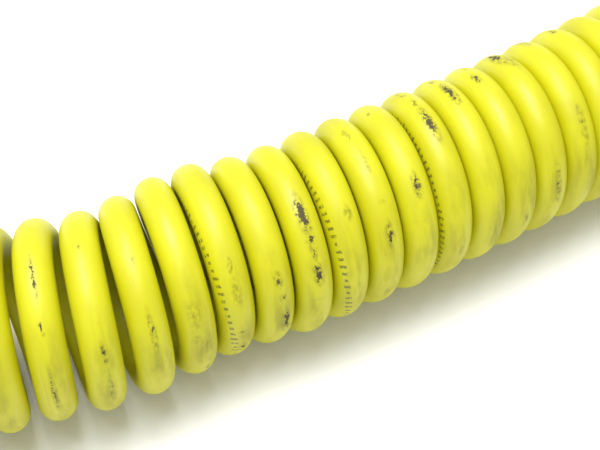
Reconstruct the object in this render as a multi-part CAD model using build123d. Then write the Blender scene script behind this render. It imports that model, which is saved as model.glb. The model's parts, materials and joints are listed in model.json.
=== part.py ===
from build123d import *
import math
import os

# Coiled four-core cable with a round plug at one end and a round coupling socket at the other.
# Millimetres, +Z up. The assembly lies on a surface at Z = 0, with the coil along X.
# The origin is the middle of the footprint, on that surface. The coil's middle stands a little beside it,
# because the two tails differ, and the routes below are given from the coil's middle.

# ---- driving dimensions ----
CABLE_D = 10.4            # outside of the sheath
COIL_BORE = 32.4          # free bore through the turns
COIL_TURNS = 24
MEAN_PITCH = 11.3         # from turn to turn along the coil
EDGE = 0.4                # usual rounding of a moulded or turned edge
GAP = 0.05                # radial play between nested pieces that don't move

SHEATH_R = CABLE_D / 2
COIL_R = COIL_BORE / 2 + CABLE_D
COIL_LENGTH = COIL_TURNS * MEAN_PITCH

# Routes of the tails, from the bottom of the coil's end turn to the bend sleeve.
PLUG_TAIL = [
    (-135.6, 0.0, 5.2),
    (-138.8, 32.0, 5.2),
    (-152.2, 60.5, 5.2),
    (-177.5, 79.5, 7.0),
    (-208.0, 84.0, 14.0),
    (-238.0, 79.0, 21.0),
    (-266.0, 79.0, 21.0),
]
SOCKET_TAIL = [
    (135.6, 0.0, 5.2),
    (136.9, -12.0, 5.2),
    (143.1, -31.0, 5.2),
    (156.6, -47.7, 5.2),
    (176.4, -58.6, 6.6),
    (201.2, -61.8, 12.4),
    (226.5, -60.0, 21.0),
    (250.0, -60.0, 21.0),
]
RUN_SHARE = 0.45          # share of the shorter run that an arc's tangent may take

# Connector, along its own +X: X = 0 is the rear face of the gland nut, the front is the mating end.
COLLAR_R = 21.0           # largest radius of either connector, which is also its axis height
BODY_R = 17.5
CHAMBER_R = 12.2          # wiring space behind the insert
INSERT_R = 12.8
SLEEVE_END = -38.0        # rear end of the bend sleeve
NUT_END = 20.0
NECK_START = 11.2
NECK_R = 11.1             # externally threaded neck that the gland nut screws onto
SEAL_BORE_R = 8.6
SHEATH_END = 26.0         # where the sheath is stripped
CHAMBER_START = 24.0
CUP_START = 46.0          # rear end of the contacts' wire cups
CUP_END = 58.0
PITCH_R = 8.0             # contacts lie on this radius
PIN_SPAN = 21.0           # length of a pin in front of the insert
MATING_END = 101.0        # front end of the plug's shroud and of the socket's barrel
SHROUD_BORE_R = 15.2
BARREL_R = 15.0
THREAD_PITCH = 2.0
THREAD_DEPTH = 0.9
KEY_WIDTH = 3.0

# name: (angle on the pitch circle, pin radius, cup radius, cup bore, insulation radius, wire radius)
CONTACTS = {
    "line": (150.0, 2.0, 3.0, 1.5, 1.6, 1.2),
    "neutral": (30.0, 2.0, 3.0, 1.5, 1.6, 1.2),
    "earth": (270.0, 2.0, 3.0, 1.5, 1.6, 1.2),
    "pilot": (90.0, 1.25, 2.4, 0.8, 0.95, 0.5),
}
CORE_LAY_R = 1.95         # how far the power cores lie from the cable's axis
PILOT_LAY_R = 2.95        # the thin pilot core rides in the groove between two of them


# ---- shared helpers ----
def turned(profile, rounding=EDGE):
    """Solid of revolution about X from (x, radius) points, with every corner rounded."""
    if rounding:
        outline = FilletPolyline(*profile, radius=rounding, close=True)
    else:
        outline = Polyline(*profile, close=True)
    return revolve(make_face(outline), Axis.X, 360)


def ring(start, end, outer, inner, rounding=EDGE):
    """Plain ring about X."""
    return turned([(start, inner), (end, inner), (end, outer), (start, outer)], rounding)


def rod(start, end, radius, y=0.0, z=0.0):
    """Plain cylinder along X."""
    stick = Cylinder(radius, end - start, align=(Align.CENTER, Align.CENTER, Align.MIN))
    return Pos(start, y, z) * Rot(0, 90, 0) * stick


def on_pitch(angle, radius=PITCH_R):
    """(y, z) of a point at an angle round the X axis."""
    return radius * math.cos(math.radians(angle)), radius * math.sin(math.radians(angle))


def turned_about_x(shape, count, first=0.0):
    """Copies of a shape, evenly round the X axis."""
    return [Rot(first + 360.0 * k / count, 0, 0) * shape for k in range(count)]


def tail_path(route):
    """Straight runs joined by arcs as large as the runs allow."""
    points = [Vector(*point) for point in route]
    radii = []
    for before, here, after in zip(points, points[1:], points[2:]):
        shorter = min((here - before).length, (after - here).length)
        turn = math.radians((here - before).get_angle(after - here))
        radii.append(RUN_SHARE * shorter / math.tan(turn / 2))
    print("tail arc radii:", [round(radius, 1) for radius in radii])
    return FilletPolyline(*route, radius=radii)


# ---- the cable ----
def coil():
    """The coiled length, as the tube that its turns fill."""
    half = COIL_LENGTH / 2 + SHEATH_R
    return Pos(0, 0, COIL_R) * ring(-half, half, COIL_R, COIL_BORE / 2, SHEATH_R * 0.6)


def tail(route):
    """Cable from the coil to a bend sleeve, cut back where it leaves the coil."""
    path = tail_path(route)
    section = Plane(origin=path @ 0, z_dir=path % 0) * Circle(SHEATH_R)
    cable = sweep(section, path=path)
    print("tail length:", round(path.length, 1), "volume over section:",
          round(cable.volume / (math.pi * SHEATH_R ** 2), 1))
    envelope = Pos(0, 0, COIL_R) * rod(-COIL_LENGTH, COIL_LENGTH, COIL_R + GAP)
    return cable - envelope


def sheath_end():
    """Straight length of cable that the gland holds, stripped inside the wiring space."""
    return rod(SLEEVE_END, SHEATH_END, SHEATH_R)


def core(name):
    """One insulated core, fanning out from the stripped sheath to its contact."""
    angle, _, _, _, insulation_r, _ = CONTACTS[name]
    lay_r = PILOT_LAY_R if name == "pilot" else CORE_LAY_R
    start = on_pitch(angle, lay_r)
    end = on_pitch(angle)
    bend = 6.0
    path = FilletPolyline(
        (SHEATH_END, *start), (SHEATH_END + 4, *start), (CUP_START - 5, *end), (CUP_START - 0.1, *end),
        radius=bend)
    return sweep(Plane(origin=path @ 0, z_dir=path % 0) * Circle(insulation_r), path=path)


def conductor_ends():
    """The four bared conductors in their cups, as one group."""
    wires = []
    for angle, _, _, _, _, wire_r in CONTACTS.values():
        wires.append(rod(CUP_START - 0.1, CUP_END - 4, wire_r, *on_pitch(angle)))
    return Compound(children=wires)


# ---- strain relief, the same at both ends ----
def bend_sleeve():
    """Tapered rubber sleeve with ring grooves, and a flange that the gland nut holds."""
    body = turned([(SLEEVE_END, SHEATH_R + GAP), (5.8, SHEATH_R + GAP), (5.8, 10.9), (2.6, 10.9),
                   (2.6, 9.2), (-2.0, 9.2), (SLEEVE_END, 7.0)])
    groove_pitch = 4.4
    for k in range(7):
        place = SLEEVE_END + 5 + groove_pitch * k
        depth = 1.1 + 0.12 * k
        body -= ring(place, place + 1.9, 12.0, 7.3 - depth + 0.3 * k, 0.0)
    return body


def gland_nut():
    """Hexagonal nut with a domed rear and a plain bore where its thread runs."""
    flats = 27.0
    shell = turned([(0.0, 9.5), (0.0, 11.4), (4.2, 16.2), (NUT_END - 1.0, 16.2), (NUT_END, 15.2),
                    (NUT_END, NECK_R + 0.1), (2.2, NECK_R + 0.1), (2.2, 9.5)], 0.3)
    prism = extrude(Plane.YZ * RegularPolygon(flats / 2, 6, major_radius=False), NUT_END)
    return shell & fillet(prism.edges().filter_by(Axis.X), 1.2)


def clamp_ring():
    """Slotted nylon ring that the nut squeezes onto the sheath."""
    body = turned([(6.2, SHEATH_R + 0.1), (11.0, SHEATH_R + 0.1), (11.0, 7.4), (9.4, 10.8), (6.2, 10.8)], 0.25)
    slot = Pos(9.4, 0, 8.2) * Box(4.0, 0.9, 8.0)
    for cut in turned_about_x(slot, 8):
        body -= cut
    return body


def gland_seal():
    """Rubber bush that the clamp ring presses round the sheath."""
    return ring(11.8, 19.7, SEAL_BORE_R - GAP, SHEATH_R + 0.02)


# ---- plug ----
def rear_profile():
    """Housing's outside and inside from the gland neck to the wiring space, as two lists."""
    outside = [(NECK_START, NECK_R), (21.4, NECK_R), (21.4, 13.6), (27.0, BODY_R)]
    inside = [(CUP_END, CHAMBER_R), (CHAMBER_START, CHAMBER_R), (22.6, 10.0), (22.6, SHEATH_R + 0.5),
              (20.0, SHEATH_R + 0.5), (20.0, SEAL_BORE_R), (NECK_START, SEAL_BORE_R)]
    return outside, inside


def grip(housing, start, end):
    """Cut finger grooves along the housing."""
    count = 18
    groove = Pos((start + end) / 2, 0, BODY_R + 0.9) * Rot(0, 90, 0) * Cylinder(1.7, end - start)
    for cut in turned_about_x(groove, count):
        housing -= cut
    return housing


def plug_housing():
    """Shell with the collar and the threaded shroud round the pins."""
    outside, inside = rear_profile()
    outline = outside + [(73.0, BODY_R), (76.0, COLLAR_R), (82.0, COLLAR_R), (82.8, COLLAR_R - 1.2),
                         (82.8, BODY_R - THREAD_DEPTH), (84.4, BODY_R - THREAD_DEPTH), (85.4, BODY_R),
                         (MATING_END - 1.0, BODY_R), (MATING_END, BODY_R - 1.0),
                         (MATING_END, SHROUD_BORE_R), (79.0, SHROUD_BORE_R), (79.0, 16.1),
                         (77.6, 16.1), (77.6, SHROUD_BORE_R), (74.0, SHROUD_BORE_R),
                         (74.0, INSERT_R + GAP), (CUP_END, INSERT_R + GAP)] + inside
    body = grip(turned(outline, 0.2), 31.0, 68.0)
    teeth = int((MATING_END - 88.0) / THREAD_PITCH)
    for k in range(teeth):
        place = 87.0 + THREAD_PITCH * k
        body -= turned([(place - 0.75, BODY_R + 0.1), (place - 0.25, BODY_R - THREAD_DEPTH),
                        (place + 0.25, BODY_R - THREAD_DEPTH), (place + 0.75, BODY_R + 0.1)], 0.0)
    key = Pos(90.5, 0, SHROUD_BORE_R - 0.35) * Box(MATING_END - 82.0, KEY_WIDTH, 2.1)
    return body + (key & rod(79.2, MATING_END - 1.5, SHROUD_BORE_R + 0.5))


def insert_holes(body, radii, start, end):
    """Bore the four contact holes."""
    for (angle, _, _, _, _, _), radius in zip(CONTACTS.values(), radii):
        body -= rod(start, end, radius, *on_pitch(angle))
    return body


def plug_insert():
    """Moulded disc that holds the pins, with a flange on the housing's shoulder."""
    flange_r = SHROUD_BORE_R - GAP
    body = turned([(CUP_END + 0.1, 0), (77.4, 0), (77.4, flange_r), (74.5, flange_r), (74.1, flange_r - 0.4),
                   (74.1, INSERT_R), (CUP_END + 0.5, INSERT_R), (CUP_END + 0.1, INSERT_R - 0.4)], 0.0)
    stems = [pin_r + 0.65 for _, pin_r, _, _, _, _ in CONTACTS.values()]
    body = insert_holes(body, stems, CUP_END, 78.0)
    for angle in (0.0, 180.0):
        body -= Pos(77.4, *on_pitch(angle, 5.6)) * Sphere(1.0)
    return body - Pos(76.0, 0, SHROUD_BORE_R) * Box(4.0, KEY_WIDTH, 2.4)


def plug_pin(name):
    """Turned pin: wire cup with a clamp-screw hole, stem, and a round-nosed pin."""
    angle, pin_r, cup_r, bore_r, _, _ = CONTACTS[name]
    reach = PIN_SPAN + (2.0 if name == "earth" else 0.0) - (2.5 if name == "pilot" else 0.0)
    tip = 77.4 + reach
    profile = [(CUP_START, bore_r), (CUP_START, cup_r - 0.3), (CUP_START + 0.3, cup_r), (CUP_END, cup_r),
               (CUP_END, pin_r + 0.6), (77.4, pin_r + 0.6), (78.0, pin_r), (tip - pin_r, pin_r),
               (tip - pin_r * 0.3, pin_r * 0.7), (tip, pin_r * 0.25), (tip, 0),
               (CUP_END - 3, 0), (CUP_END - 3.4, bore_r)]
    body = turned(profile, 0.0)
    return clamp_hole(body, angle, cup_r)


def clamp_hole(contact, angle, cup_r):
    """Place a contact on the pitch circle and drill its clamp-screw hole from outside."""
    hole = Pos(CUP_START + 4.5, 0, cup_r) * Cylinder(0.95, cup_r * 2)
    y, z = on_pitch(angle)
    return Pos(0, y, z) * Rot(angle - 90, 0, 0) * (contact - hole)


def terminal_screws():
    """Four hexagon-socket clamp screws as one group."""
    screws = []
    for angle, _, cup_r, bore_r, _, wire_r in CONTACTS.values():
        top = cup_r + 0.6
        base = wire_r + 0.05
        stem = Pos(0, 0, (top + base) / 2) * Cylinder(0.9, top - base)
        key_hole = Pos(0, 0, top) * extrude(RegularPolygon(0.45, 6), 0.8, both=True)
        y, z = on_pitch(angle)
        screws.append(Pos(CUP_START + 4.5, y, z) * Rot(angle - 90, 0, 0) * (stem - key_hole))
    return Compound(children=screws)


def insert_ring(start, thickness, outer, inner):
    """Internal circlip: a split ring with a gap at the bottom."""
    body = ring(start, start + thickness, outer, inner, 0.2)
    return body - Pos(start, 0, -outer) * Box(10, 4.0, 10)


# ---- socket ----
def socket_housing():
    """Shell with a neck for the coupling nut and a barrel round the contact carrier."""
    outside, inside = rear_profile()
    outline = outside + [(70.0, BODY_R), (72.4, 19.6), (72.5, 16.0), (78.0, 16.0), (78.0, BARREL_R),
                         (MATING_END - 0.8, BARREL_R), (MATING_END, BARREL_R - 0.8),
                         (MATING_END, INSERT_R + GAP), (99.6, INSERT_R + GAP), (99.6, 13.9), (98.2, 13.9),
                         (98.2, INSERT_R + GAP), (CUP_END, INSERT_R + GAP)] + inside
    body = turned(outline, 0.0)
    body -= ring(76.2, 77.8, 18.0, 15.2, 0.0)
    body = grip(body, 31.0, 66.0)
    keyway = Pos(MATING_END - 9.0, 0, BARREL_R) * Box(20.0, KEY_WIDTH + 0.6, 3.0)
    return body - keyway


def socket_insert():
    """Long moulded carrier round the contact sleeves, with smaller holes at its face."""
    end = 98.0
    body = rod(CUP_END + 0.1, end, INSERT_R)
    sleeves = [pin_r + 0.9 for _, pin_r, _, _, _, _ in CONTACTS.values()]
    mouths = [pin_r + 0.25 for _, pin_r, _, _, _, _ in CONTACTS.values()]
    body = insert_holes(body, sleeves, CUP_END, end - 1.6)
    return insert_holes(body, mouths, end - 2.0, end + 1.0)


def socket_contact(name):
    """Turned sleeve: wire cup at the rear, slotted spring tube at the front."""
    angle, pin_r, cup_r, bore_r, _, _ = CONTACTS[name]
    sleeve_r = pin_r + 0.8
    body = rod(CUP_START, CUP_END, cup_r) + rod(CUP_END, 96.0, sleeve_r)
    body -= rod(CUP_START - 1, CUP_END - 3, bore_r)
    body -= rod(70.0, 97.0, pin_r + GAP)
    for slot in turned_about_x(Pos(90.0, 0, 0) * Box(12.0, 0.5, 10.0), 2):
        body -= Pos(1.0, 0, 0) * slot
    return clamp_hole(body, angle, cup_r)


def nut_ring():
    """Split ring in the housing's groove that keeps the coupling nut on."""
    body = ring(76.3, 77.7, 17.3, 15.3, 0.2)
    return body - Pos(77.0, 0, -16.0) * Box(10, 3.0, 6)


def face_seal():
    """Flat rubber ring that the plug's shroud presses on when mated."""
    return ring(78.1, 80.2, 17.3, BARREL_R + GAP, 0.3)


def coupling_nut():
    """Knurled nut, free to turn between the housing's shoulder and its ring."""
    profile = [(72.9, 16.4), (72.9, 19.8), (74.1, COLLAR_R), (96.8, COLLAR_R), (98.0, 19.8), (98.0, 18.6),
               (96.9, 17.8), (79.0, 17.8), (79.0, 18.6), (76.0, 18.6), (76.0, 16.4)]
    body = turned(profile, 0.2)
    first, last = 82.5, 96.0
    knurls = 40
    groove = Pos((first + last) / 2, 0, COLLAR_R + 0.35) * Rot(45, 0, 0) * Box(last - first, 1.5, 1.5)
    for cut in turned_about_x(groove, knurls):
        body -= cut
    for k in range(6):
        place = 84.0 + THREAD_PITCH * k
        body -= turned([(place - 0.7, 17.7), (place - 0.2, 18.4), (place + 0.2, 18.4), (place + 0.7, 17.7)], 0.0)
    return body - ring(78.4, 79.6, COLLAR_R + 1, COLLAR_R - 0.6, 0.0)


# ---- assembly ----
CONNECTOR_LENGTH = MATING_END - SLEEVE_END
PLUG_END = PLUG_TAIL[-1]
SOCKET_END = SOCKET_TAIL[-1]
PLUG_PLACE = Pos(PLUG_END[0] + SLEEVE_END, PLUG_END[1], COLLAR_R) * Rot(0, 0, 180)
SOCKET_PLACE = Pos(SOCKET_END[0] - SLEEVE_END, SOCKET_END[1], COLLAR_R)

# The footprint runs from the plug's front to the socket's, and from one collar's side to the other's.
FOOTPRINT_X = (PLUG_END[0] - CONNECTOR_LENGTH + SOCKET_END[0] + CONNECTOR_LENGTH) / 2
FOOTPRINT_Y = (PLUG_END[1] + SOCKET_END[1]) / 2
COIL_PLACE = Pos(-FOOTPRINT_X, -FOOTPRINT_Y, 0)


def connector(prefix, place, pieces):
    """Name and place the pieces of one connector, with the strain relief and wiring that both share."""
    shared = {
        "bend_sleeve": bend_sleeve(),
        "gland_nut": gland_nut(),
        "clamp_ring": clamp_ring(),
        "gland_seal": gland_seal(),
        "sheath_end": sheath_end(),
        "terminal_screws": terminal_screws(),
        "conductor_ends": conductor_ends(),
    }
    for name in CONTACTS:
        shared["core_" + name] = core(name)
    shared.update(pieces)
    return {prefix + "_" + name: place * shape for name, shape in shared.items()}


def plug():
    pieces = {"housing": plug_housing(), "insert": plug_insert()}
    pieces["insert_ring"] = insert_ring(77.7, 1.2, 16.0, 14.0)
    for name in CONTACTS:
        pieces["pin_" + name] = plug_pin(name)
    return connector("plug", PLUG_PLACE, pieces)


def socket():
    pieces = {"housing": socket_housing(), "insert": socket_insert()}
    pieces["insert_ring"] = insert_ring(98.3, 1.2, 13.8, 11.8)
    pieces["nut_ring"] = nut_ring()
    pieces["face_seal"] = face_seal()
    pieces["coupling_nut"] = coupling_nut()
    for name in CONTACTS:
        pieces["contact_" + name] = socket_contact(name)
    return connector("socket", SOCKET_PLACE, pieces)


def main():
    os.makedirs("parts", exist_ok=True)
    nodes = {"cable_coil": coil(), "plug_tail": tail(PLUG_TAIL), "socket_tail": tail(SOCKET_TAIL)}
    nodes.update(plug())
    nodes.update(socket())
    for name, shape in nodes.items():
        export_step(COIL_PLACE * shape, "parts/" + name + ".step")


main()
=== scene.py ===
import bpy
import json
import math
import numpy as np
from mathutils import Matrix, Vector

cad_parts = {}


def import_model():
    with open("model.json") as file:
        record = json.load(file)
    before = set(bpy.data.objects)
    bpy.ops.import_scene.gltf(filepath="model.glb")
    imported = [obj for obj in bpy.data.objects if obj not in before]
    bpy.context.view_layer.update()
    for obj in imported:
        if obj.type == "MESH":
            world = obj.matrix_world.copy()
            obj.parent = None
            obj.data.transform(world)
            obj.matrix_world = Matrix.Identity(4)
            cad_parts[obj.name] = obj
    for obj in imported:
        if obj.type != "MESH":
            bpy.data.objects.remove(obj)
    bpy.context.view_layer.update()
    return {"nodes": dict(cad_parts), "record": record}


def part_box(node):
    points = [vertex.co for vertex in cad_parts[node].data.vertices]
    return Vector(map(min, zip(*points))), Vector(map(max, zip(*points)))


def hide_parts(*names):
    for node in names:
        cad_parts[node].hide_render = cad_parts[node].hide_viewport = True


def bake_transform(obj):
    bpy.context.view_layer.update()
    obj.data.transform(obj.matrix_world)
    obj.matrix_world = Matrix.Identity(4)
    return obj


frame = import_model()

# Metres. The coil lies along X on the floor, with the plug towards -X and the socket towards +X.
# The cable is worked out from the coil's middle, which stands at COIL_MIDDLE, and moved there at the end.

# ---- driving dimensions ----
COIL_LOW, COIL_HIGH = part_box("cable_coil")
CABLE_D = 0.0104
SHEATH_R = CABLE_D / 2
COIL_MIDDLE = np.array([(COIL_LOW.x + COIL_HIGH.x) / 2, (COIL_LOW.y + COIL_HIGH.y) / 2, 0])
COIL_R = (COIL_HIGH.z - COIL_LOW.z) / 2
COIL_LENGTH = COIL_HIGH.x - COIL_LOW.x - CABLE_D
MEAN_R = COIL_R - SHEATH_R
TURNS = 24
STEPS = 16                # route points in one turn

# Pitch of the turns, before it is scaled to the coil's length: open at the plug end, nearly closed at the
# socket end. Where they stand open they are also a little wider, and they lean.
CLOSED_PITCH = 0.01044
OPEN_TURNS = 7.7          # the turns before this one stand open
OPEN_EXTRA = 0.00137      # added to their pitch
OPEN_SWELL = 0.023        # and to their radius, as a share of it
OPEN_FADE = 0.5           # turns to each side of OPEN_TURNS in which half of the change fades
LOOSE_TURNS = 15.9        # the turns before this one are only slightly loose
LOOSE_EXTRA = 0.00038
LOOSE_SWELL = 0.018
LOOSE_FADE = 0.8          # the same for LOOSE_TURNS
LEANING_TURNS = 5.9       # the turns before this one lean
LEAN = 0.0027             # how far a leaning turn reaches along X, to each side of its middle
LEAN_ZERO = math.radians(73)    # angle round the turn where it crosses its middle
FAR_TURNS = 7.3           # the far sides of the turns before this one lie nearer the socket end
FAR_SHIFT = 0.0033        # along X, opposite NEAR_TOP on each turn
FAR_FADE = 0.6            # the same for FAR_TURNS
NEAR_TOP = math.radians(61)     # angle round the turn, from the camera's side over the top
END_TURNS = 2             # the lean and the shift build up over this many turns from the plug end

# The coil's axis is a shallow parabola, and the first turns wander to either side of it.
BOW_X = 0.009             # where it comes nearest the camera
BOW_DEPTH = 0.0043        # how far it bends over BOW_REACH
BOW_REACH = 0.094
BOW_SHIFT = -0.0039       # Y where it comes nearest the camera
WANDER = 0.0018           # how far the turns near the plug wander aside of the coil's line, in a slow wave
WANDER_SWELL = 0.014      # and how much larger and smaller they get with it
WANDER_TURNS = 5.2        # one wave
WANDER_START = 1.9
WANDER_LIMIT = 10.0       # it has died out past this turn

# The tails, from the coil to the bend sleeves.
PLUG_TAIL = [
    (-0.1388, 0.0320, 0.0052),
    (-0.1522, 0.0605, 0.0052),
    (-0.1775, 0.0795, 0.0070),
    (-0.2080, 0.0840, 0.0140),
    (-0.2380, 0.0790, 0.0210),
    (-0.2660, 0.0790, 0.0210),
]
SOCKET_TAIL = [
    (0.1369, -0.0120, 0.0052),
    (0.1431, -0.0310, 0.0052),
    (0.1566, -0.0477, 0.0052),
    (0.1764, -0.0586, 0.0066),
    (0.2012, -0.0618, 0.0124),
    (0.2265, -0.0600, 0.0210),
    (0.2500, -0.0600, 0.0210),
]

SIDES = 28                # points round the cable's section
RING_STEP = 0.0020        # distance between sections
STRETCH_EASE = 0.72       # turns over which the stretch sets in at each end


# ---- the cable's route ----
def before(turn, limit, softness):
    """1 well before a turn, 0 well after it."""
    return 1 / (1 + math.exp((turn - limit) / softness))


def pitch_at(turn):
    """Distance from one turn to the next."""
    return (CLOSED_PITCH + OPEN_EXTRA * before(turn, OPEN_TURNS, OPEN_FADE)
            + LOOSE_EXTRA * before(turn, LOOSE_TURNS, LOOSE_FADE))


def radius_at(turn):
    """Radius of the cable's centreline, and how far the turn lies to the side."""
    swell = (1 + OPEN_SWELL * before(turn, OPEN_TURNS, OPEN_FADE)
             + LOOSE_SWELL * before(turn, LOOSE_TURNS, LOOSE_FADE))
    wave = math.sin(2 * math.pi * (turn - WANDER_START) / WANDER_TURNS)
    wave *= before(turn, WANDER_LIMIT, OPEN_FADE)
    return MEAN_R * (swell + WANDER_SWELL * wave), WANDER * wave


def bow(x):
    """How far the coil's axis stands from Y = 0."""
    return BOW_DEPTH * ((x - BOW_X) / BOW_REACH) ** 2 + BOW_SHIFT


def coil_route():
    """Control points of the turns, from under the first turn to under the last."""
    turns = np.arange(TURNS * STEPS + 1) / STEPS
    pitches = np.array([pitch_at(t) for t in turns])
    travel = np.concatenate([[0], np.cumsum((pitches[1:] + pitches[:-1]) / 2)])
    places = (travel / travel[-1] - 0.5) * COIL_LENGTH
    points = []
    for turn, x in zip(turns, places):
        angle = 2 * math.pi * turn - math.pi / 2
        radius, aside = radius_at(turn)
        outer = radius / math.cos(math.pi / STEPS)
        built_up = min(turn / END_TURNS, 1)
        lean = LEAN * before(turn, LEANING_TURNS, OPEN_FADE) * built_up
        far_side = (0.5 - 0.5 * math.cos(angle - NEAR_TOP)) * built_up
        far_shift = FAR_SHIFT * far_side * before(turn, FAR_TURNS, FAR_FADE)
        points.append((x + lean * math.sin(angle - LEAN_ZERO) + far_shift,
                       bow(x) + aside - outer * math.cos(angle),
                       SHEATH_R + radius + outer * math.sin(angle)))
    for end in (0, -1):
        points[end] = (*points[end][:2], SHEATH_R)
    return points


def cable_route():
    """Control points of the whole cable, from the plug's bend sleeve to the socket's."""
    return PLUG_TAIL[::-1] + coil_route() + SOCKET_TAIL


def spline_points(route):
    """Points along the NURBS line of a route, as Blender samples it."""
    curve = bpy.data.curves.new("cable_route", "CURVE")
    curve.dimensions = "3D"
    curve.resolution_u = 12
    spline = curve.splines.new("NURBS")
    spline.points.add(len(route) - 1)
    for point, place in zip(spline.points, route):
        point.co = (*place, 1.0)
    spline.order_u = 3
    spline.use_endpoint_u = True
    holder = bpy.data.objects.new("cable_route", curve)
    sampled = bpy.data.meshes.new_from_object(holder)
    points = np.array([v.co for v in sampled.vertices], float)
    bpy.data.objects.remove(holder)
    bpy.data.curves.remove(curve)
    bpy.data.meshes.remove(sampled)
    return points


def evenly(points, step):
    """The same line with sections a fixed distance apart, and how far along each one is."""
    lengths = np.concatenate([[0], np.cumsum(np.linalg.norm(np.diff(points, axis=0), axis=1))])
    along = np.linspace(0, lengths[-1], int(round(lengths[-1] / step)) + 1)
    line = np.stack([np.interp(along, lengths, points[:, k]) for k in range(3)], axis=1)
    return line, along


def unit(vectors):
    """The same directions, one long."""
    return vectors / np.linalg.norm(vectors, axis=-1, keepdims=True)


class Cable:
    """The cable's centreline with, at each section, its direction, its outward side and its turn."""

    def __init__(self):
        """Sample the route and work out what is kept at each section."""
        self.line, self.along = evenly(spline_points(cable_route()), RING_STEP)
        self.heading = unit(np.gradient(self.line, axis=0))
        ends = np.array([coil_route()[0], coil_route()[-1]])
        self.first, self.last = [int(np.linalg.norm(self.line - e, axis=1).argmin()) for e in ends]
        self.outward = self.sides()
        self.turn = self.turns()
        self.placed = self.line + COIL_MIDDLE

    def sides(self):
        """Away from the coil's axis on the turns, and carried on without twist along the tails."""
        axis = self.line.copy()
        axis[:, 1] = bow(axis[:, 0])
        axis[:, 2] = COIL_R
        out = self.line - axis
        out -= self.heading * (out * self.heading).sum(1)[:, None]
        out = unit(out)
        for order in (range(self.first - 1, -1, -1), range(self.last + 1, len(self.line))):
            back = 1 if order.step < 0 else -1
            for k in order:
                carried = out[k + back]
                carried = carried - self.heading[k] * carried.dot(self.heading[k])
                out[k] = unit(carried)
        return out

    def turns(self):
        """Number of turns from the coil's start, held at its ends along the tails."""
        inner = slice(self.first, self.last + 1)
        x, y, z = self.line[inner].T
        angle = np.unwrap(np.arctan2(z - COIL_R, bow(x) - y))
        turn = (angle - angle[0]) / (2 * math.pi)
        return np.concatenate([np.full(self.first, turn[0]), turn,
                               np.full(len(self.line) - self.last - 1, turn[-1])])

    def stretch_share(self):
        """How much of the coil's stretch has built up at each section, easing in over the end turns."""
        rate = np.clip(np.minimum(self.turn, TURNS - self.turn) / STRETCH_EASE, 0, 1)
        rate[:self.first] = 0
        rate[self.last:] = 0
        share = np.cumsum(rate)
        return share / share[-1]


def tube_mesh(cable):
    """The sheath as a tube of quads, with what its material needs stored at each point."""
    clock = 2 * math.pi * np.arange(SIDES) / SIDES - math.pi
    across = np.cross(cable.heading, cable.outward)
    ring = (np.cos(clock)[None, :, None] * cable.outward[:, None]
            + np.sin(clock)[None, :, None] * across[:, None])
    points = (cable.placed[:, None] + SHEATH_R * ring).reshape(-1, 3)
    rows = len(cable.line)
    faces = []
    for i in range(rows - 1):
        for j in range(SIDES):
            k = (j + 1) % SIDES
            faces.append((i * SIDES + j, i * SIDES + k, (i + 1) * SIDES + k, (i + 1) * SIDES + j))
    faces.append(tuple(range(SIDES - 1, -1, -1)))
    faces.append(tuple((rows - 1) * SIDES + j for j in range(SIDES)))
    mesh = bpy.data.meshes.new("cable")
    mesh.from_pydata(points.tolist(), [], faces)
    mesh.polygons.foreach_set("use_smooth", [True] * len(faces))
    straight = np.stack(np.broadcast_arrays(cable.along[:, None], SHEATH_R * np.cos(clock)[None],
                                            SHEATH_R * np.sin(clock)[None]), axis=2)
    store(mesh, "straight", straight.reshape(-1, 3))
    store(mesh, "print_place", print_places(cable, clock).reshape(-1, 3))
    store(mesh, "scuff_place", scuff_places(cable, clock).reshape(-1, 3))
    # The film mask is partly dirt and partly painted shade on the side flanks of the turns.
    store(mesh, "film_and_shade", film_and_shade_map(cable, clock).ravel())
    mesh.validate()
    return mesh


def store(mesh, name, values):
    """Keep a number or a vector at each point of a mesh, under a name that a material can read."""
    values = np.asarray(values, np.float32)
    kind, field = ("FLOAT_VECTOR", "vector") if values.ndim == 2 else ("FLOAT", "value")
    mesh.attributes.new(name, kind, "POINT").data.foreach_set(field, values.ravel())
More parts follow.
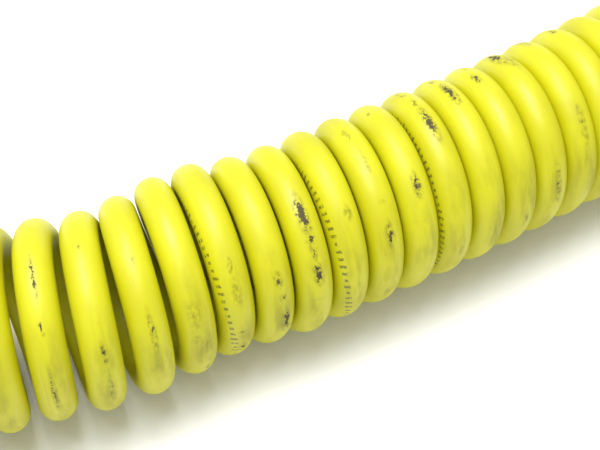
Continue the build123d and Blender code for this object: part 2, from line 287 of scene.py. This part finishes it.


# ---- wear, print and painted shade on the cable ----
# Dirt on the side that the camera sees, one mark a line:
# - the turn, counted from the plug end, and the height in the camera's view of it, 0 at the lower edge and 1
#   at the upper edge
# - millimetres aside of the turn's crest, towards the socket, and half the length and width in millimetres
# - strength: about 0.5 a faint smudge, 1 caked dirt
MARKS = [
    (4, 0.65, 0, 5.0, 0.6, 0.90),
    (4, 0.25, -1, 6.0, 0.7, 0.80),
    (5, 0.70, 0, 0.7, 0.5, 0.70),
    (5, 0.35, 0, 1.6, 0.7, 1.00),
    (5, 0.20, 0, 5.0, 0.8, 0.55),
    (6, 0.60, 0, 0.9, 0.6, 0.50),
    (6, 0.35, 0, 5.0, 0.9, 0.70),
    (7, 0.35, -1, 4.0, 2.0, 0.45),
    (7, 0.25, -2, 0.7, 0.6, 0.90),
    (7, 0.20, 2, 0.6, 0.5, 0.80),
    (7, 0.06, 1, 1.8, 0.7, 0.85),
    (8, 0.50, 0, 0.8, 0.5, 0.60),
    (8, 0.38, 0, 4.0, 1.5, 0.45),
    (8, 0.08, 0, 2.2, 1.1, 0.85),
    (9, 0.37, 0, 1.8, 1.1, 0.85),
    (9, 0.18, 1, 3.6, 1.3, 1.05),
    (10, 0.55, 0, 4.5, 1.6, 1.10),
    (10, 0.42, 0, 2.5, 0.9, 0.80),
    (10, 0.33, 0, 2.2, 1.4, 1.00),
    (11, 0.50, 1, 2.0, 1.4, 0.50),
    (12, 0.80, -1, 1.4, 0.8, 0.65),
    (12, 0.65, 0, 4.0, 0.8, 0.45),
    (12, 0.37, 0, 3.0, 1.1, 0.95),
    (12, 0.10, -1, 2.0, 0.8, 0.50),
    (13, 0.87, -2, 0.8, 0.6, 0.75),
    (13, 0.50, 0, 2.8, 1.2, 0.95),
    (14, 0.95, -1, 1.5, 0.6, 0.65),
    (14, 0.82, 0, 1.6, 0.7, 0.70),
    (14, 0.70, 0, 5.0, 1.4, 1.05),
    (14, 0.17, 0, 2.2, 0.8, 0.50),
    (15, 0.95, -1, 1.4, 0.7, 0.65),
    (15, 0.80, 0, 4.6, 1.4, 1.05),
    (16, 0.97, 0, 1.2, 0.6, 0.60),
    (16, 0.82, -1, 2.4, 1.1, 0.95),
    (16, 0.17, 0, 2.4, 0.9, 0.55),
    (17, 0.93, -1, 5.5, 1.5, 0.95),
    (17, 0.85, 1, 4.0, 1.8, 0.55),
    (17, 0.70, 0, 0.7, 0.5, 0.60),
    (17, 0.27, 0, 6.0, 1.2, 0.55),
    (18, 0.95, 0, 3.6, 1.2, 0.75),
    (18, 0.45, 0, 5.5, 1.2, 0.55),
    (19, 0.93, -1, 2.0, 0.9, 0.75),
]
SIDE_BOTTOM = 0.17        # share of a turn, from its lowest point, at height 0
SIDE_TOP = 0.62           # and at height 1
SIDE_SCUFFS = 90          # small ones on the far side, the end turns and the tails
SEEN_TURNS = (3.2, 20.8)  # where the list above has all there is on the near side
NEAR_SIDE = (0.15, 0.68)  # stretch of a turn that the camera sees

SCUFF_LENGTH = 0.0016     # half the length of a small one, before its own size is drawn
SCUFF_WIDTH = 0.0008      # and half its width
SCUFF_FADED = 3           # half lengths or widths from its middle, where a scuff has faded

# Stretches of print: (turn at its middle, degrees off the crest there, degrees that it winds in one turn)
PRINTS = [
    (2.4, -50, 120),
    (8.4, -60, 190),
    (11.4, -60, 200),
    (14.4, -75, 60),
    (17.9, -60, 120),
    (21.3, -60, 120),
]
PRINT_REACH = 0.25        # turns that each runs to either side of its middle

# Where the film lies: dirt, and also painted shade darkening the side flanks that turn away from the overhead
# key.
FILM_AND_SHADE_HEIGHT = 0.15        # height of the middle of the film and painted shade above the coil's axis, in coil radii
FILM_AND_SHADE_SPREAD = 0.6         # how far it spreads up and down, in coil radii
FILM_AND_SHADE_WIDTH = 0.75         # and round the cable, in radians


def place_at(cable, turns):
    """How far along the cable a place on the turns lies."""
    coiled = slice(cable.first, cable.last)
    return np.interp(turns, cable.turn[coiled], cable.along[coiled])


def side_scuffs(cable):
    """Small scuffs where the list names none, as places along the cable."""
    rng = np.random.default_rng(11)
    found = []
    while len(found) < SIDE_SCUFFS:
        along = rng.uniform(0, cable.along[-1])
        off_crest, size, strength = rng.normal(0, 28), rng.uniform(0.6, 1.9), rng.uniform(0.45, 0.9)
        turn = np.interp(along, cable.along, cable.turn)
        near_side = NEAR_SIDE[0] < turn % 1 < NEAR_SIDE[1]
        if near_side and SEEN_TURNS[0] < turn < SEEN_TURNS[1]:
            continue
        found.append((along, off_crest, SCUFF_LENGTH * size, SCUFF_WIDTH * size, strength))
    return found


def near_scuffs(cable):
    """The listed marks, as places along the cable."""
    found = []
    for turn, height, aside_mm, length_mm, width_mm, strength in MARKS:
        along = place_at(cable, turn + SIDE_BOTTOM + (SIDE_TOP - SIDE_BOTTOM) * height)
        off_crest = math.degrees(aside_mm / 1000 / SHEATH_R)
        found.append((along, off_crest, length_mm / 1000, width_mm / 1000, strength))
    return found


def scuff_places(cable, clock):
    """(ahead, aside, strength) of the nearest scuff at each point, in half lengths and half widths."""
    places = np.zeros((len(cable.line), SIDES, 3))
    nearest = np.full(places.shape[:2], np.inf)
    side_step = 2 * math.pi * SHEATH_R / SIDES
    for along, off_crest, length, width, strength in near_scuffs(cable) + side_scuffs(cable):
        ahead = ((cable.along - along) / length)[:, None]
        aside = (SHEATH_R * (clock - math.radians(off_crest)) / width)[None]
        # Far enough for the scuff to have faded, and at least two points of the mesh to each side.
        reach_ahead = max(SCUFF_FADED, 2.1 * RING_STEP / length)
        reach_aside = max(SCUFF_FADED, 2.1 * side_step / width)
        distance = np.hypot(ahead, aside)
        here = (np.abs(ahead) < reach_ahead) & (np.abs(aside) < reach_aside) & (distance < nearest)
        nearest[here] = distance[here]
        local = np.stack(np.broadcast_arrays(ahead, aside, strength), axis=2)
        places[here] = local[here]
    return places


def film_and_shade_map(cable, clock):
    """A thin brownish film along the crest, on both sides of the coil, that is also painted shade darkening
    the side flanks of the turns.
    """
    angle = 2 * math.pi * cable.turn
    level = np.exp(-((np.cos(angle) + FILM_AND_SHADE_HEIGHT) / FILM_AND_SHADE_SPREAD) ** 2)
    crest = np.exp(-(clock / FILM_AND_SHADE_WIDTH) ** 2)
    return level[:, None] * crest[None]


def print_places(cable, clock):
    """(along the print, across it, 1 on a printed stretch) at each point."""
    along = np.broadcast_to(cable.along[:, None], (len(cable.line), SIDES))
    across = np.zeros_like(along)
    inked = np.zeros_like(along)
    for middle, off_crest, winding in PRINTS:
        ahead = cable.turn - middle
        near = np.abs(ahead) < PRINT_REACH
        line = np.radians(off_crest - winding * ahead)
        across[near] = SHEATH_R * (clock[None] - line[near, None])
        inked[near] = 1
    return np.stack([along, across, inked], axis=2)


# ---- materials ----
class Shade:
    """Short calls for one material's nodes."""

    def __init__(self, name):
        """A new material with one shader."""
        self.material = bpy.data.materials.new(name)
        self.material.use_nodes = True
        self.tree = self.material.node_tree
        self.tree.nodes.clear()
        self.shader = self.add("ShaderNodeBsdfPrincipled")
        out = self.add("ShaderNodeOutputMaterial")
        self.link(self.shader.outputs[0], out.inputs[0])

    def add(self, kind, **settings):
        """A new node with these settings."""
        node = self.tree.nodes.new(kind)
        for key, value in settings.items():
            setattr(node, key, value)
        return node

    def link(self, source, target):
        """Join an output to an input."""
        self.tree.links.new(source, target)

    def put(self, target, value):
        """Feed an input from another node, or set it to a constant."""
        if isinstance(value, bpy.types.NodeSocket):
            self.link(value, target)
        else:
            target.default_value = value

    def set(self, **values):
        """Feed the shader's own inputs, by name."""
        for key, value in values.items():
            self.put(self.shader.inputs[key.replace("_", " ")], value)

    def math(self, operation, a, b=0.0):
        """The result of one sum."""
        node = self.add("ShaderNodeMath", operation=operation)
        for socket, value in zip(node.inputs, (a, b)):
            self.put(socket, value)
        return node.outputs[0]

    def band(self, value, low, high, start=0.0, end=1.0):
        """value from low to high turned into start to end, held outside."""
        node = self.add("ShaderNodeMapRange", interpolation_type="SMOOTHSTEP")
        for socket, number in zip(node.inputs, (value, low, high, start, end)):
            self.put(socket, number)
        return node.outputs[0]

    def mix(self, share, a, b):
        """Color a turned into color b by a share."""
        node = self.add("ShaderNodeMix", data_type="RGBA")
        self.put(node.inputs[0], share)
        self.put(node.inputs[6], a)
        self.put(node.inputs[7], b)
        return node.outputs[2]

    def noise(self, vector, scale, detail=3.0, roughness=0.5, stretch=None):
        """Smooth noise, drawn out along the axes where stretch is under 1."""
        if stretch:
            scaled = self.add("ShaderNodeVectorMath", operation="MULTIPLY")
            self.put(scaled.inputs[0], vector)
            scaled.inputs[1].default_value = stretch
            vector = scaled.outputs[0]
        node = self.add("ShaderNodeTexNoise")
        self.put(node.inputs["Vector"], vector)
        node.inputs["Scale"].default_value = scale
        node.inputs["Detail"].default_value = detail
        node.inputs["Roughness"].default_value = roughness
        return node.outputs[0]

    def stored(self, name, vector=False):
        """What store() kept on the mesh under a name."""
        node = self.add("ShaderNodeAttribute", attribute_name=name)
        return node.outputs["Vector" if vector else "Fac"]

    def parts(self, vector):
        """The three numbers of a vector."""
        node = self.add("ShaderNodeSeparateXYZ")
        self.link(vector, node.inputs[0])
        return node.outputs

    def place(self):
        """The point's place on the object."""
        return self.add("ShaderNodeTexCoord").outputs["Object"]

    def bump(self, height, distance, strength, under=None):
        """A surface raised by a height, on top of another bump if one is given."""
        node = self.add("ShaderNodeBump")
        node.inputs["Strength"].default_value = strength
        node.inputs["Distance"].default_value = distance
        self.put(node.inputs["Height"], height)
        if under is not None:
            self.link(under, node.inputs["Normal"])
        return node.outputs[0]


YELLOW = (0.56, 0.545, 0.004, 1)
YELLOW_DEEP = (0.50, 0.48, 0.002, 1)
# Film colour: dirt in the halos round the scuffs, and painted shade on the side flanks of the turns.
YELLOW_FILM_AND_SHADE = (0.26, 0.24, 0.001, 1)
FILM_AND_SHADE_STRENGTH = 0.9
DIRT = (0.034, 0.026, 0.010, 1)
DIRT_STRENGTH = 0.94
CLEAN_EDGE = 0.735        # grain above which a speck of dirt shows on clean sheath
SCUFF_REACH = 0.34        # how much a full scuff lowers that
SOFT_EDGE = 0.045         # over which a speck sets in
INK = (0.13, 0.13, 0.012, 1)
INK_STRENGTH = 0.85
SHEATH_GLOSS = 0.5
TICK_PITCH = 0.0019       # from one printed tick to the next
TICK_HALF = 0.17          # half a tick's width, as a share of that
TICK_REACH = 0.00095      # half a tick's height


def sheath_material():
    """Semi-matt yellow polyurethane with a drawn surface, a dirty film that is also painted shade on the side
    flanks, scuffs and printed ticks.
    """
    s = Shade("yellow_sheath_worn")
    straight = s.stored("straight", vector=True)
    tone = s.noise(straight, 55, 3)
    color = s.mix(s.band(tone, 0.35, 0.7), YELLOW, YELLOW_DEEP)
    smear = s.noise(straight, 210, 4, 0.6, (0.33, 1, 1))
    # Film: partly brownish dirt, partly painted shade on the side flanks of the turns.
    film_and_shade = s.math("MULTIPLY", s.stored("film_and_shade"), s.band(smear, 0.40, 0.72, 0, FILM_AND_SHADE_STRENGTH))
    color = s.mix(film_and_shade, color, YELLOW_FILM_AND_SHADE)
    ink = tick_marks(s)
    color = s.mix(ink, color, INK)
    specks = s.noise(straight, 2600, 4, 0.65)
    patches = s.noise(straight, 800, 4, 0.6)
    grain = s.math("ADD", s.math("MULTIPLY", specks, 0.45), s.math("MULTIPLY", patches, 0.55))
    ahead, aside, strength = s.parts(s.stored("scuff_place", vector=True))
    away = s.math("ADD", s.math("MULTIPLY", ahead, ahead), s.math("MULTIPLY", aside, aside))
    closeness = s.math("MULTIPLY", s.math("EXPONENT", s.math("MULTIPLY", away, -1.0)), strength)
    edge = s.math("SUBTRACT", CLEAN_EDGE, s.math("MULTIPLY", closeness, SCUFF_REACH))
    scuff = s.band(s.math("SUBTRACT", grain, edge), 0.0, SOFT_EDGE)
    halo = s.math("MULTIPLY", s.band(closeness, 0.06, 0.42), s.band(patches, 0.35, 0.65, 0.1, 0.85))
    color = s.mix(halo, color, YELLOW_FILM_AND_SHADE)
    color = s.mix(s.math("MULTIPLY", scuff, DIRT_STRENGTH), color, DIRT)
    s.set(Base_Color=color)
    s.shader.inputs["Specular IOR Level"].default_value = SHEATH_GLOSS
    polish = s.band(smear, 0.3, 0.7, 0.40, 0.56)
    s.set(Roughness=s.math("ADD", polish, s.math("MULTIPLY", scuff, 0.25)))
    drawn = s.noise(straight, 900, 2, 0.5, (0.12, 1, 1))
    fine = s.bump(drawn, 0.00005, 0.4)
    s.set(Normal=s.bump(scuff, 0.00008, 0.6, fine))
    return s.material


def tick_marks(s):
    """A row of short printed ticks, some of them taller and some half worn away."""
    along, across, inked = s.parts(s.stored("print_place", vector=True))
    count = s.math("DIVIDE", along, TICK_PITCH)
    phase = s.math("ABSOLUTE", s.math("SUBTRACT", s.math("FRACT", count), 0.5))
    bar = s.band(phase, TICK_HALF, TICK_HALF + 0.06, 1, 0)
    chance = s.add("ShaderNodeTexWhiteNoise", noise_dimensions="1D")
    s.link(s.math("FLOOR", count), chance.inputs["W"])
    reach = s.band(chance.outputs[0], 0.2, 0.8, TICK_REACH * 0.45, TICK_REACH)
    row = s.band(s.math("SUBTRACT", s.math("ABSOLUTE", across), reach), 0, 0.00008, 1, 0)
    worn = s.band(s.noise(s.stored("straight", vector=True), 1800, 2), 0.34, 0.46)
    here = s.math("MULTIPLY", s.math("MULTIPLY", bar, row), s.math("MULTIPLY", inked, worn))
    return s.math("MULTIPLY", here, INK_STRENGTH)


def plain_yellow():
    """Clean sheath for the short ends held in the glands."""
    s = Shade("yellow_sheath_clean")
    tone = s.noise(s.place(), 60)
    s.set(Base_Color=s.mix(tone, YELLOW, YELLOW_DEEP), Roughness=0.42)
    return s.material


def moulded(name, dark, light, roughness, grain):
    """Moulded plastic: a fine eroded grain and a little wear in its tone."""
    s = Shade(name)
    place = s.place()
    tone = s.noise(place, 90, 4)
    color = s.mix(s.band(tone, 0.3, 0.75), dark, light)
    rubbed = s.band(s.noise(place, 330, 5, 0.7, (0.3, 1, 1)), 0.60, 0.72, 0, 0.35)
    dusty = tuple(0.8 * c + 0.07 for c in light[:3]) + (1,)
    s.set(Base_Color=s.mix(rubbed, color, dusty))
    fine = s.noise(place, grain, 2)
    s.set(Roughness=s.band(tone, 0.2, 0.8, roughness - 0.05, roughness + 0.08))
    s.set(Normal=s.bump(fine, 0.00006, 0.35))
    return s.material


def metal(name, color, dull, roughness, lay=(1, 1, 1)):
    """Plated or bare metal with fine tool marks and a few dull patches."""
    s = Shade(name)
    place = s.place()
    patches = s.noise(place, 110, 5, 0.6)
    marks = s.noise(place, 1400, 2, 0.5, lay)
    s.set(Base_Color=s.mix(s.band(patches, 0.45, 0.75), color, dull))
    s.shader.inputs["Metallic"].default_value = 1.0
    s.set(Roughness=s.band(patches, 0.3, 0.8, roughness - 0.04, roughness + 0.12))
    s.set(Normal=s.bump(marks, 0.00003, 0.25))
    return s.material


def striped(name, first, second):
    """Two-coloured insulation, in two long stripes."""
    s = Shade(name)
    stripe = s.noise(s.place(), 260, 0, 0.5, (0.08, 1, 1))
    s.set(Base_Color=s.mix(s.band(stripe, 0.49, 0.51), first, second), Roughness=0.35)
    return s.material


def insulation(name, color):
    """Smooth core insulation, slightly uneven in tone."""
    s = Shade(name)
    tone = s.noise(s.place(), 200)
    paler = tuple(min(1, c * 1.25 + 0.01) for c in color[:3]) + (1,)
    s.set(Base_Color=s.mix(tone, color, paler), Roughness=0.35)
    return s.material


# (dark tone, light tone, roughness, scale of the grain)
MOULDINGS = {
    "sleeve_rubber": ((0.012, 0.012, 0.013, 1), (0.03, 0.03, 0.03, 1), 0.62, 700),
    "seal_rubber": ((0.30, 0.05, 0.03, 1), (0.38, 0.08, 0.05, 1), 0.5, 600),
    "black_polyamide": ((0.016, 0.017, 0.018, 1), (0.035, 0.036, 0.038, 1), 0.42, 1100),
    "natural_nylon": ((0.62, 0.58, 0.48, 1), (0.74, 0.70, 0.60, 1), 0.45, 800),
    "grey_insert": ((0.10, 0.105, 0.11, 1), (0.15, 0.155, 0.16, 1), 0.48, 900),
}
# (color, color of its dull patches, roughness, and how the tool marks stretch if they have a direction)
METALS = {
    "spring_steel": ((0.50, 0.50, 0.51, 1), (0.36, 0.36, 0.37, 1), 0.28),
    "nickel_nut": ((0.70, 0.68, 0.63, 1), (0.52, 0.50, 0.46, 1), 0.26, (0.2, 1, 1)),
    "contact_brass": ((0.83, 0.74, 0.52, 1), (0.66, 0.57, 0.38, 1), 0.22),
    "bare_copper": ((0.84, 0.42, 0.26, 1), (0.60, 0.30, 0.19, 1), 0.35),
}
CORES = {
    "core_brown": (0.17, 0.07, 0.03, 1),
    "core_blue": (0.03, 0.12, 0.50, 1),
    "core_white": (0.70, 0.70, 0.68, 1),
}
EARTH_GREEN = (0.05, 0.35, 0.05, 1)
EARTH_YELLOW = (0.80, 0.72, 0.04, 1)


def slot_materials():
    """One material for each of the record's slots."""
    found = {"yellow_sheath": plain_yellow()}
    for name, values in MOULDINGS.items():
        found[name] = moulded(name, *values)
    for name, values in METALS.items():
        found[name] = metal(name, *values)
    for name, color in CORES.items():
        found[name] = insulation(name, color)
    found["core_green_yellow"] = striped("core_green_yellow", EARTH_GREEN, EARTH_YELLOW)
    return found


def dress_frame():
    """Give every CAD piece the material of its slot."""
    materials = slot_materials()
    slots = {entry["node"]: entry["material_slot"] for entry in frame["record"]["subparts"]}
    for name, node in frame["nodes"].items():
        material = materials[slots[name]]
        if not node.material_slots:
            node.data.materials.append(material)
        for entry in node.material_slots:
            entry.material = material


# ---- pieces ----
def make_cable():
    """The whole cable in one length: tail, turns, tail."""
    cable = Cable()
    sheath = bpy.data.objects.new("cable", tube_mesh(cable))
    bpy.context.scene.collection.objects.link(sheath)
    sheath.data.materials.append(sheath_material())
    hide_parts("cable_coil", "plug_tail", "socket_tail")
    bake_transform(sheath)
    # Every turn opens by about the same amount, so the share of the motion goes by length of cable, not by X.
    share = np.repeat(cable.stretch_share(), SIDES).astype(np.float32)


# ---- surroundings ----
def make_floor():
    """Plain pale table."""
    mesh = bpy.data.meshes.new("table_top")
    half = 4.0
    corners = [(-half, -half, 0), (half, -half, 0), (half, half, 0), (-half, half, 0)]
    mesh.from_pydata(corners, [], [(0, 1, 2, 3)])
    floor = bpy.data.objects.new("table_top", mesh)
    bpy.context.scene.collection.objects.link(floor)
    s = Shade("pale_table")
    tone = s.noise(s.place(), 6, 2)
    s.set(Base_Color=s.mix(tone, (0.83, 0.83, 0.83, 1), (0.86, 0.86, 0.855, 1)), Roughness=0.5)
    mesh.materials.append(s.material)


def area_light(name, place, aim, size, power):
    """Soft square lamp that faces a point."""
    lamp = bpy.data.lights.new(name, "AREA")
    lamp.size = size
    lamp.energy = power
    holder = bpy.data.objects.new(name, lamp)
    holder.location = place
    bpy.context.scene.collection.objects.link(holder)
    bpy.context.view_layer.update()
    holder.rotation_euler = (Vector(aim) - Vector(place)).to_track_quat("-Z", "Y").to_euler()


KEY_PLACE = (-0.09, 0.13, 0.9)
KEY_SIZE = 0.62
KEY_POWER = 11.5          # watts
SURROUND_STRENGTH = 0.74


def make_lights():
    """A broad key from behind and above, and an even pale surround."""
    world = bpy.data.worlds.new("studio")
    world.use_nodes = True
    background = world.node_tree.nodes["Background"]
    background.inputs["Color"].default_value = (1, 1, 1, 1)
    background.inputs["Strength"].default_value = SURROUND_STRENGTH
    bpy.context.scene.world = world
    area_light("key", KEY_PLACE, (0, 0, 0), KEY_SIZE, KEY_POWER)
    bpy.context.scene.view_settings.view_transform = "Standard"


CAMERA_PLACE = (-0.0892, -0.1738, 0.2966)    # from the coil's middle
CAMERA_AZIMUTH = 26.22                       # degrees from +Y, clockwise from above
CAMERA_ELEVATION = 54.58                     # degrees down from level
FOCAL_IN_WIDTHS = 1.931                      # focal length over the picture's width


def make_camera():
    """The photo's view: from above the near side, down across the coil and a little towards the socket."""
    data = bpy.data.cameras.new("camera")
    data.sensor_width = 36.0
    data.lens = data.sensor_width * FOCAL_IN_WIDTHS
    data.clip_start = 0.01
    data.clip_end = 20
    camera = bpy.data.objects.new("camera", data)
    camera.location = COIL_MIDDLE + CAMERA_PLACE
    camera.rotation_euler = (math.radians(90 - CAMERA_ELEVATION), 0, math.radians(-CAMERA_AZIMUTH))
    bpy.context.scene.collection.objects.link(camera)
    bpy.context.scene.camera = camera


make_camera()
make_cable()
dress_frame()
make_floor()
make_lights()
